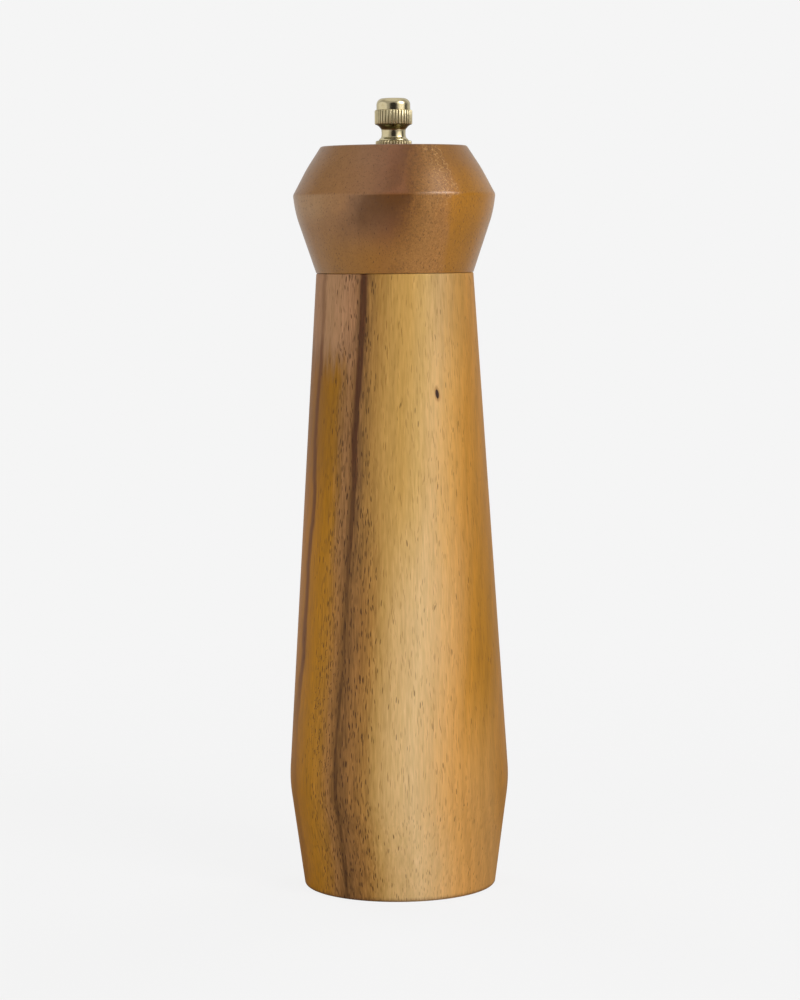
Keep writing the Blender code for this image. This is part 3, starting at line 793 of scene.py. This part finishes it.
def knurled_nut():
    """One turned piece of brass: dome, knurled band, waist and knurled foot."""
    teeth = 36
    per_tooth = 12
    tip = 0.006
    foot = 0.00575
    depth = 0.00036
    dome = 0.0054
    waist_radius = 0.0047
    bore = 0.0027
    center = 0.0008
    foot_top = NUT_BOTTOM + 0.0014
    band_bottom = NUT_BOTTOM + 0.0064
    band_top = NUT_BOTTOM + 0.0112

    # The profile holds (radius, height, how deep the knurl cuts here).
    crown = rounded([(center, NUT_TOP), (dome, NUT_TOP - 0.0002, 0.0021), (dome, band_top)], False)
    profile = [(p.x, p.y, 0.0) for p in crown]
    profile += [
        (0.00552, band_top - 0.00002, 0.0),
        (tip - 0.00032, band_top - 0.00005, 0.0),
        (tip - 0.00014, band_top - 0.00014, 0.45 * depth),
        (tip, band_top - 0.00034, depth),
        (tip, band_bottom + 0.0004, depth),
        (tip - 0.00014, band_bottom + 0.00022, 0.45 * depth),
        (tip - 0.00036, band_bottom + 0.00005, 0.0),
        (tip - 0.0006, band_bottom, 0.0),
    ]
    waist = rounded(
        [
            (0.00525, band_bottom - 0.0001),
            (waist_radius, band_bottom - 0.0005, 0.0004),
            (0.00392, band_bottom - 0.0014, 0.0009),
            (0.00378, NUT_BOTTOM + 0.0034, 0.006),
            (0.004, NUT_BOTTOM + 0.0024, 0.0008),
            (waist_radius, NUT_BOTTOM + 0.0018, 0.0003),
            (waist_radius, foot_top + 0.0001),
        ],
        False,
        math.radians(10),
    )
    profile += [(p.x, p.y, 0.0) for p in waist]
    profile += [
        (foot - 0.00055, foot_top, 0.0),
        (foot - 0.0003, foot_top - 0.00003, 0.3 * depth),
        (foot, foot_top - 0.00025, depth),
        (foot, NUT_BOTTOM + 0.00014, depth),
        (foot - 0.00012, NUT_BOTTOM + 0.00002, 0.5 * depth),
        (0.0034, NUT_BOTTOM, 0.0),
        (0.0029, NUT_BOTTOM + 0.0005, 0.0),
        (bore, NUT_BOTTOM + 0.0007, 0.0),
        (bore, SHAFT_TOP + 0.0019, 0.0),
        (center, SHAFT_TOP + 0.0024, 0.0),
    ]

    def cut(reach, deep):
        def radius(angle):
            across = 0.5 - 0.5 * math.cos(teeth * angle)
            return reach - deep * across**3.5

        return radius

    rings = [ring(cut(r, deep), z, teeth * per_tooth) for r, z, deep in profile]
    nut = smooth(skin("knurled_nut", rings, loop=False, caps=True), math.radians(40))
    show(nut, BRASS, "nut", "adjusting_nut")


def threaded_shaft():
    """A drawn square bar whose top is turned down and cut with an M5 x 0.8 thread."""
    count = 96
    pitch = 0.0008
    square_top = 0.23
    crest = 0.00245
    depth = 0.0004
    tapped_hole = 0.0016
    square = polygon(4, 0.0025, 0.0, 0.00018)
    rings = [
        ring(tapped_hole, SHAFT_BOTTOM + 0.009, count),
        ring(tapped_hole, SHAFT_BOTTOM, count),
        ring(lambda a: square(a) - 0.0003, SHAFT_BOTTOM, count),
        ring(square, SHAFT_BOTTOM + 0.0003, count),
        ring(square, square_top - 0.0004, count),
        ring(lambda a: min(square(a), 0.0031), square_top, count),
        ring(crest - depth, square_top + 0.0002, count),
    ]
    low = square_top + 0.0006
    high = SHAFT_TOP - 0.0002
    per_turn = 10
    steps = round((high - low) / pitch * per_turn)

    for i in range(steps + 1):
        z = low + (high - low) * i / steps
        fade = min(1.0, (z - low) / 0.0008, (SHAFT_TOP - z) / 0.0006 + 0.15)

        def thread(angle, z=z, fade=fade):
            flank = abs(2 * winding(angle, z, pitch) - 1)
            return crest - depth + depth * min(1.0, max(0.0, 1.25 * flank - 0.12)) * fade

        rings.append(ring(thread, z, count))
    rings.append(ring(0.0018, SHAFT_TOP, count))
    shaft = smooth(skin("threaded_shaft", rings, loop=False, caps=True), math.radians(28))
    show(shaft, ALUMINIUM, "shaft", "drive_shaft")


# ---- drive plate, washers, screws


def plate(name, low, high, hole):
    """A stamped disc between two corners of its box, with a hole that is a radius or a polygon."""
    count = 128
    edge = 0.00018

    def wider(extra):
        if callable(hole):
            return lambda angle: hole(angle) + extra
        return hole + extra

    radius, bottom, top = high.x, low.z, high.z
    rings = [
        ring(wider(edge), top, count),
        ring(radius - edge, top, count),
        ring(radius - 0.3 * edge, top - 0.3 * edge, count),
        ring(radius, top - edge, count),
        ring(radius, bottom + 0.6 * edge, count),
        ring(radius - 0.6 * edge, bottom, count),
        ring(wider(0.0), bottom, count),
        ring(wider(0.0), top - edge, count),
    ]
    return smooth(skin(name, rings))


def pan_screw(node, body, place, head_top, size):
    """A pan-head screw that points up, with a cross recess and a cut thread."""
    count = 48
    shank, length, head, height = size
    bottom = head_top - height
    outline = rounded(
        [(0.0002, bottom), (head, bottom, 0.8 * height), (head, head_top, 0.00012), (shank, head_top)],
        False,
        math.radians(8),
    )
    rings = [ring(p.x, p.y, count) for p in outline]
    pitch = 0.9 * shank
    per_turn = 8
    top = head_top + length
    start = head_top + 0.0004
    steps = round((top - start) / pitch * per_turn)
    for i in range(steps + 1):
        z = start + (top - start) * i / steps
        taper = min(1.0, (top - z) / (3.0 * shank) + 0.04)

        def thread(angle, z=z, taper=taper):
            ridge = max(0.0, 1.0 - 3.0 * abs(winding(angle, z, pitch) - 0.5))
            return shank * taper * (0.72 + 0.28 * ridge)

        rings.append(ring(thread, z, count))
    screw = skin(f"pan_{node}", rings, loop=False, caps=True)
    long, short, depth = 1.15 * head, 0.24 * head, 0.62 * height
    cross = [
        block(f"pan_{node}_slot", (*sides, 2 * depth), (0, 0, bottom))
        for sides in ((long, short), (short, long))
    ]
    combine(screw, "DIFFERENCE", cross)
    screw.data.transform(Matrix.Translation((*place, 0)))
    show(screw, STEEL, body, node)


def drive_parts():
    """The drive plate, both washers and all six screws."""
    low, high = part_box("drive_plate")
    disc = plate("stamped_drive_plate", low, high, polygon(4, SQUARE_HOLE, 0.0, 0.0002))
    holes = [
        drill(f"drive_hole_{i}", 0.0014, low.z - 0.001, high.z + 0.001, (x, y))
        for i, (_, x, y) in enumerate(on_circle(2, PLATE_SCREW_CIRCLE))
    ]
    combine(disc, "DIFFERENCE", holes)
    show(disc, STEEL, "head", "drive_plate")
    for i, (_, *place) in enumerate(on_circle(2, PLATE_SCREW_CIRCLE), 1):
        node = f"drive_plate_screw_{i}"
        pan_screw(node, "head", place, low.z - GAP, PLATE_SCREW)
    flange_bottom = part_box("grinder_housing")[0].z
    for i, (_, *place) in enumerate(on_circle(3, HOUSING_SCREW_CIRCLE), 1):
        node = f"housing_screw_{i}"
        pan_screw(node, "base", place, flange_bottom - GAP, HOUSING_SCREW)
    low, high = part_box("rotor_washer")
    washer = plate("round_rotor_washer", low, high, 0.0016)
    show(washer, STEEL, "shaft", "rotor_washer")
    pan_screw("rotor_screw", "shaft", (0, 0), low.z - GAP, ROTOR_SCREW)
    low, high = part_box("spring_washer")
    washer = plate("square_holed_washer", low, high, polygon(4, SQUARE_HOLE))
    show(washer, STEEL, "shaft", "spring_washer")


# ---- grinder

ROTOR_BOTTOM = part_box("rotor_burr")[0].z
ROTOR_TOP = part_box("rotor_burr")[1].z
ROTOR_RADIUS = 0.0111
FINE_SLOPE = 0.2
FINE_TOP = 0.0132
FINE_TEETH = 40


def saw(angle, teeth, lean=0.35):
    """A tooth's height from 0 to 1 with one steep and one gentle flank."""
    phase = (teeth * angle / (2 * math.pi)) % 1.0
    return phase / lean if phase < lean else (1.0 - phase) / (1.0 - lean)


def burr_tip(z):
    """The radius of the rotor's fine teeth at a height."""
    return ROTOR_RADIUS - FINE_SLOPE * (z - ROTOR_BOTTOM)


def rotor():
    """A ceramic cone: deep leaning flutes above, fine teeth below, a hexagonal hole through it."""
    count = 360
    tooth = 0.00035
    flutes = 7
    flute_depth = 0.0015
    top_radius = 0.0084
    hexagon = polygon(6, 0.0049, math.pi / 6)
    rings = [ring(lambda a: hexagon(a) + 0.0002, ROTOR_TOP, count)]
    rows = 26
    fine_radius = burr_tip(FINE_TOP)
    for i in range(rows + 1):
        t = i / rows
        z = ROTOR_TOP + (FINE_TOP - ROTOR_TOP) * t
        outer = top_radius + (fine_radius - tooth - top_radius) * t
        deep = flute_depth * min(1.0, (1 - t) * 3 + 0.1) * min(1.0, 0.75 + t)
        if i == 0:
            outer -= 0.0004

        def flute(angle, z=z, outer=outer, deep=deep):
            twisted = angle - math.radians(38) * (z - FINE_TOP) / (ROTOR_TOP - FINE_TOP)
            return outer - deep * (1 - saw(twisted, flutes, 0.28)) ** 0.8

        rings.append(ring(flute, z, count))
    rows = 8
    for i in range(rows + 1):
        z = FINE_TOP + (ROTOR_BOTTOM - FINE_TOP) * i / rows
        tip = burr_tip(z)
        if i == rows:
            tip -= 0.00012

        def fine(angle, z=z, tip=tip):
            twisted = angle - math.radians(8) * (z - ROTOR_BOTTOM) / (FINE_TOP - ROTOR_BOTTOM)
            return tip - tooth * (1 - saw(twisted, FINE_TEETH))

        rings.append(ring(fine, z, count))
    rings += [
        ring(0.0094, ROTOR_BOTTOM, count),
        ring(0.009, ROTOR_BOTTOM + 0.0005, count),
        ring(lambda a: hexagon(a) + 0.0009, ROTOR_BOTTOM + 0.0005, count),
        ring(lambda a: hexagon(a) + 0.0006, ROTOR_BOTTOM, count),
        ring(hexagon, ROTOR_BOTTOM + 0.0002, count),
        ring(hexagon, ROTOR_TOP - 0.0002, count),
    ]
    burr = smooth(skin("toothed_rotor", rings), math.radians(26))
    show(burr, CERAMIC, "shaft", "rotor_burr")

    count = 240
    core = polygon(6, 0.00462, math.pi / 6, 0.0001)
    square = polygon(4, SQUARE_HOLE)
    rings = [
        ring(lambda a: square(a) + 0.0002, ROTOR_TOP, count),
        ring(lambda a: core(a) - 0.0002, ROTOR_TOP, count),
        ring(core, ROTOR_TOP - 0.0002, count),
        ring(core, ROTOR_BOTTOM + 0.0002, count),
        ring(lambda a: core(a) - 0.0002, ROTOR_BOTTOM, count),
        ring(square, ROTOR_BOTTOM, count),
    ]
    carrier = smooth(skin("hexagonal_core", rings))
    show(carrier, NYLON, "shaft", "rotor_carrier")


def stator():
    """A ceramic ring with keys outside, fine teeth below and coarse teeth in its mouth, and its snap ring."""
    count = 360
    outer = 0.0124
    low, high = (corner.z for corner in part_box("stator_ring"))
    middle = 0.0148
    key_height = 0.00046
    key_half, key_fade = math.radians(6.4), math.radians(0.8)
    third = 2 * math.pi / 3

    def keyed(inset):
        def radius(angle):
            off = (angle - math.pi / 3) % third
            off = min(off, third - off)
            key = max(0.0, min(1.0, (key_half - off) / key_fade))
            return outer - inset + key_height * key

        return radius

    def tip(z):
        return burr_tip(z) + 0.00045

    rings = [
        ring(lambda a: tip(middle) + 0.001, high, count),
        ring(keyed(0.0003), high, count),
        ring(keyed(0.0), high - 0.0003, count),
        ring(keyed(0.0), low + 0.0003, count),
        ring(keyed(0.0003), low, count),
    ]
    rows = 8
    for i in range(rows + 1):
        z = low + (middle - low) * i / rows
        worn = 0.0001 if i == 0 else 0.0

        def fine(angle, z=z, worn=worn):
            twisted = angle + math.radians(6) * (z - low) / (middle - low)
            return tip(z) + worn + 0.00033 * saw(twisted, FINE_TEETH, 0.65)

        rings.append(ring(fine, z, count))
    rows = 12
    for i in range(1, rows + 1):
        t = i / rows
        z = middle + (high - middle) * t

        def coarse(angle, t=t):
            twisted = angle + math.radians(18) * t
            return tip(middle) + 0.0005 * t + 0.0007 * (0.3 + 0.7 * t) * saw(twisted, 14, 0.6)

        rings.append(ring(coarse, z, count))
    part = smooth(skin("toothed_stator", rings), math.radians(26))
    show(part, CERAMIC, "base", "stator_ring")

    low, high = (corner.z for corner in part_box("stator_retaining_ring"))
    inner = 0.0113
    outline = [(inner, high, 0.0002), (outer, high, 0.0002), (outer, low, 0.0003), (inner, low, 0.0004)]
    snap = lathe("snap_ring", outline, 160, step=math.radians(15))
    notches = [
        block(f"notch_{i}", (0.0016, 0.0014, 0.0007), (x, y, low), angle)
        for i, (angle, x, y) in enumerate(on_circle(6, outer, math.pi / 6))
    ]
    combine(snap, "DIFFERENCE", notches)
    show(snap, NYLON, "base", "stator_retaining_ring")


def housing():
    """Moulded nylon: flange with a stiffening groove, barrel, seat and a three-armed bridge with its hub."""
    low, high = (corner.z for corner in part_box("grinder_housing"))
    flange = RECESS_DEPTH - GAP
    flange_radius = 0.02
    barrel = CHAMBER_RADIUS - GAP
    bore = 0.0126
    seat = 0.0127
    seat_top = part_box("stator_ring")[1].z + GAP
    bridge = 0.0368
    part = lathe(
        "moulded_housing",
        [
            (bore, high, 0.0003),
            (barrel, high, 0.0003),
            (barrel, flange),
            (flange_radius, flange, 0.0003),
            (flange_radius, low, 0.0004),
            (0.0145, low, 0.0002),
            (0.0143, low + 0.0004, 0.0002),
            (0.0135, low + 0.0004, 0.0002),
            (0.0133, low, 0.0002),
            (seat, low, 0.0002),
            (seat, seat_top),
            (0.0108, seat_top, 0.0002),
            (bore, 0.0232, 0.0004),
        ],
        192,
        step=math.radians(12),
    )
    hub, hub_bore = 0.0069, 0.005
    outline = [(hub_bore, high, 0.0002), (hub, high, 0.0003)]
    outline += [(hub, bridge, 0.0003), (hub_bore, bridge, 0.0002)]
    joined = [lathe("hub", outline, 96)]
    arm_size = (bore - hub + 0.0014, 0.0026, high - bridge - 0.0004)
    for i, (angle, x, y) in enumerate(on_circle(3, (bore + hub) / 2)):
        arm = block(f"arm_{i}", arm_size, (x, y, (high + bridge) / 2), angle)
        bevel = arm.modifiers.new("Edge", "BEVEL")
        bevel.width = 0.0004
        bevel.segments = 3
        joined.append(apply_modifiers(arm))
    combine(part, "UNION", joined)
    cutters = [
        drill(f"screw_hole_{i}", 0.0015, low - 0.001, flange + 0.001, (x, y))
        for i, (_, x, y) in enumerate(on_circle(3, HOUSING_SCREW_CIRCLE))
    ]
    keyway = seat_top - low + 0.002
    for i, (angle, x, y) in enumerate(on_circle(3, seat, math.pi / 3)):
        cutters.append(block(f"keyway_{i}", (0.0016, 0.0032, keyway), (x, y, seat_top - keyway / 2), angle))
    combine(part, "DIFFERENCE", cutters)
    show(part, NYLON, "base", "grinder_housing")


def bush_and_spring():
    """A flanged bush with a square hole, and a spring with one closed coil at each end."""
    low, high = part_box("shaft_bush")
    count = 144
    flange_top = low.z + 0.0008
    sleeve = 0.0047
    flange = 0.0068
    square = polygon(4, SQUARE_HOLE, 0.0, 0.0001)
    rings = [
        ring(lambda a: square(a) + 0.0003, high.z, count),
        ring(sleeve - 0.0002, high.z, count),
        ring(sleeve, high.z - 0.0003, count),
        ring(sleeve, flange_top, count),
        ring(flange - 0.0002, flange_top, count),
        ring(flange, flange_top - 0.0002, count),
        ring(flange, low.z + 0.0002, count),
        ring(flange - 0.0002, low.z, count),
        ring(square, low.z, count),
        ring(square, high.z - 0.0003, count),
    ]
    bush = smooth(skin("flanged_bush", rings))
    show(bush, NYLON, "bush", "shaft_bush")

    bottom, top = (corner.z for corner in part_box("grinder_spring"))
    wire = 0.00045
    coil = 0.0053
    closed_coils = 1.0
    active_coils = 4.5
    turns = active_coils + 2 * closed_coils
    closed_pitch = 2 * wire + 0.0001
    start = bottom + wire + closed_pitch * closed_coils
    end = top - wire - closed_pitch * closed_coils

    def height(turn):
        if turn < closed_coils:
            return bottom + wire + closed_pitch * turn
        if turn > turns - closed_coils:
            return top - wire - closed_pitch * (turns - turn)
        return start + (end - start) * (turn - closed_coils) / active_coils

    # Where the wire would pass its box at an end, it is ground flat.
    steps = round(32 * turns)
    sides = 14
    rings = []
    for i in range(steps + 1):
        turn = turns * i / steps
        angle = 2 * math.pi * turn
        out = Vector((math.cos(angle), math.sin(angle), 0))
        z = height(turn)
        points = []
        for k in range(sides):
            around = 2 * math.pi * k / sides
            lift = max(bottom, min(top, z + wire * math.sin(around)))
            spot = out * (coil + wire * math.cos(around))
            points.append((spot.x, spot.y, lift))
        rings.append(points)
    spring = smooth(skin("coil_spring", rings, loop=False, caps=True), math.radians(50))
    show(spring, SPRING_STEEL, None, "grinder_spring")
    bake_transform(spring)


wooden_pieces()
knurled_nut()
threaded_shaft()
drive_parts()
rotor()
stator()
housing()
bush_and_spring()


# ---- studio

# Brightness of the backdrop, of the dim light from all round and of the floor.
BACKDROP = 0.913
AMBIENT = 0.16
FLOOR_GLOW = 0.945
FLOOR_HEIGHT = -0.0002
FLOOR_HOLE = 0.0302
FLOOR_RADIUS = 1.6
AIM = Vector((0, 0, 0.11))

# What glossy surfaces see around them: azimuth, elevation, half width and soft edge in degrees, brightness.
# In order: left wall, back wall, ceiling, right wall, dark gap in front, dark gap at the right, key light.
WALLS = 0.36
PATCHES = [
    (-85, -8, 36, 12, 0.7),
    (180, 10, 46, 14, 0.55),
    (0, 90, 24, 18, 0.62),
    (58, 22, 22, 10, 1.15),
    (0, 8, 18, 12, 0.03),
    (95, 6, 8, 8, 0.1),
    (63, 31, 8, 10, 8.5),
]


def toward(azimuth, elevation):
    """Azimuth 0 is the camera's side, and 90 the mill's right."""
    a, e = math.radians(azimuth), math.radians(elevation)
    return Vector((math.sin(a) * math.cos(e), -math.cos(a) * math.cos(e), math.sin(e)))


def floor():
    """A plain pale disc that melts into the backdrop. The hole lets a view from below see the mill."""
    obj = skin("floor", [ring(radius, FLOOR_HEIGHT, 96) for radius in (FLOOR_HOLE, FLOOR_RADIUS)], loop=False)
    mesh = obj.data
    if mesh.polygons[0].normal.z < 0:
        mesh.flip_normals()
    n = surface("pale_floor")
    _, x, y, _ = n.place()
    diffuse = n.add("BsdfDiffuse")
    glow = n.add("Emission")
    glow.inputs["Color"].default_value = (FLOOR_GLOW, FLOOR_GLOW, FLOOR_GLOW, 1)
    clear = n.add("BsdfTransparent")
    path = n.add("LightPath")
    shade = n.blend(path.outputs["Is Glossy Ray"], 0.75, 0.3)
    n.feed(diffuse.inputs["Color"], n.vector(shade, shade, shade))

    def mixed(factor, first, second):
        return n.wire(n.add("MixShader"), factor, first.outputs[0], second.outputs[0])

    # The camera sees mostly glow, so that only a faint shadow shows.
    shown = mixed(0.9, diffuse, glow)
    seen = mixed(path.outputs["Is Camera Ray"], diffuse, shown)
    faded = mixed(n.step(n.reach(x, y), 120.0, 600.0), seen, clear)
    final = mixed(n.add("NewGeometry").outputs["Backfacing"], faded, clear)
    n.feed(n.tree.nodes["Material Output"].inputs[0], final.outputs[0])
    mesh.materials.append(n.material)


def world():
    """A pale backdrop for the camera, dim light from all round, and broad pale walls for what reflects."""
    made = bpy.data.worlds.new("studio")
    bpy.context.scene.world = made
    n = Nodes(made)
    way = n.add("TexCoord").outputs["Generated"]
    path = n.add("LightPath")
    walls = WALLS
    for azimuth, elevation, half, soft, bright in PATCHES:
        dot = n.wire(n.add("VectorMath", operation="DOT_PRODUCT"), way, toward(azimuth, elevation))
        low, high = (math.cos(math.radians(off)) for off in (half + soft, half))
        walls = n.blend(n.step(dot.outputs["Value"], low, high), walls, bright)
    light = n.blend(path.outputs["Is Glossy Ray"], AMBIENT, walls)
    light = n.blend(path.outputs["Is Camera Ray"], light, BACKDROP)
    n.feed(n.tree.nodes["Background"].inputs["Color"], n.vector(light, light, light))


def softbox(name, azimuth, elevation, distance, size, power):
    """A soft area light, unseen by the camera and in reflections, where the world's patches show instead."""
    back = toward(azimuth, elevation)
    lamp = bpy.data.lights.new(name, "AREA")
    lamp.shape = "RECTANGLE"
    lamp.size, lamp.size_y = size
    lamp.energy = power
    obj = in_scene(name, lamp)
    obj.location = AIM + back * distance
    obj.rotation_mode = "QUATERNION"
    obj.rotation_quaternion = (-back).to_track_quat("-Z", "Y")
    obj.visible_glossy = False
    obj.visible_camera = False


def camera():
    """Looks 5 degrees down on the mill from 0.97 m, slightly rolled."""
    tilt = 5.085
    roll = 0.5
    data = bpy.data.cameras.new("camera")
    data.lens = 108
    data.sensor_width = 36
    obj = in_scene("camera", data)
    obj.location = (0.00177, -0.965, 0.211)
    obj.rotation_euler = (math.radians(90 - tilt), math.radians(roll), 0)
    bpy.context.scene.camera = obj


floor()
world()
softbox("key", 40, 22, 0.9, (0.4, 0.75), 5.2)
softbox("fill", -36, 5, 1.1, (0.45, 0.8), 4.5)
softbox("back_left", -140, 30, 1.2, (0.6, 0.8), 4.3)
softbox("back_right", 140, 30, 1.2, (0.6, 0.8), 4.3)
softbox("below", 0, -90, 0.6, (0.3, 0.3), 1.3)
camera()
bpy.context.scene.view_settings.view_transform = "Standard"
